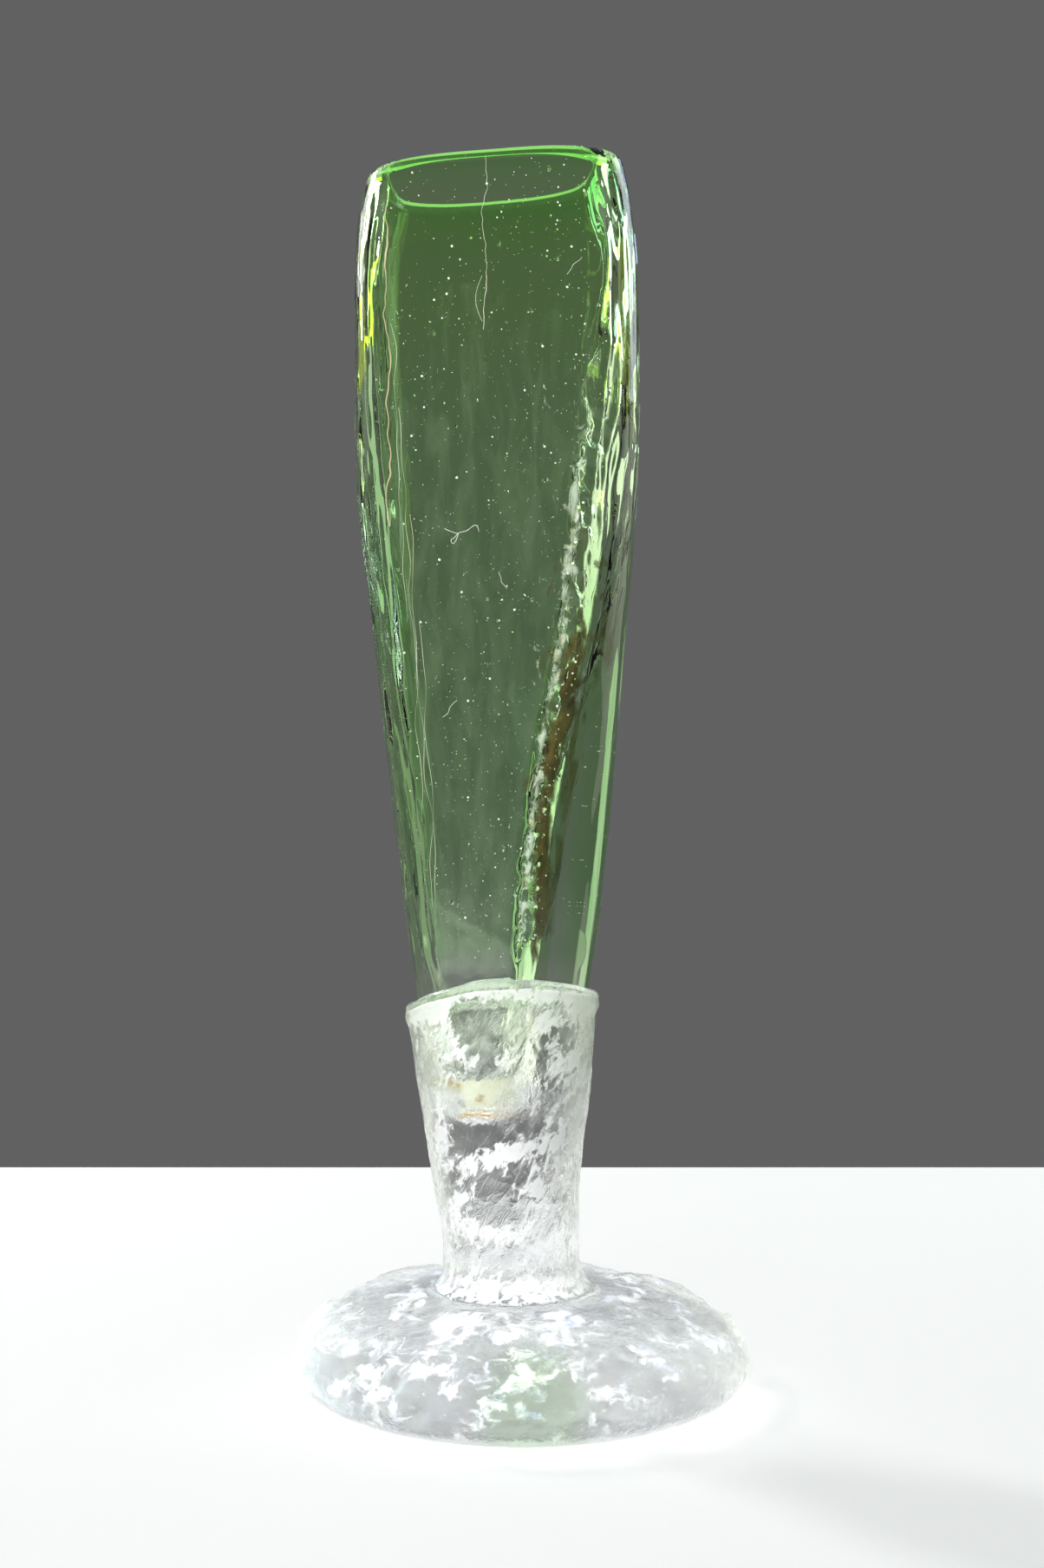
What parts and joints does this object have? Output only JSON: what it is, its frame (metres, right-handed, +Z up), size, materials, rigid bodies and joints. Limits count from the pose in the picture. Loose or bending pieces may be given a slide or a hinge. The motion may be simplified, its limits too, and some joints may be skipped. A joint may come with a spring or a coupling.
{
  "type": "glass bud vase",
  "caption": "Tall hand-blown vase: a flattened tapering green bubble fused into a clear glass stem with a collar, on a solid domed clear foot.",
  "frame": {"origin": "middle of the foot's base, on the plane the vase stands on", "axes": "+Z up through the vase, -Y towards its broad front face, +X to its right; metres"},
  "size_m": [0.0904, 0.0904, 0.2399],
  "materials": {
    "green_glass": "fire-polished, seeded and faintly streaked",
    "clear_glass": "fire-polished, rippled",
    "foot_glass": "fire-polished, rippled, base ground flat",
    "dried_residue": "dry, dusty film and hairlines, in patches"
  },
  "bodies": {
    "root": {"vessel": "green_glass", "stem_collar": "clear_glass", "foot": "foot_glass"}
  },
  "joints": []
}
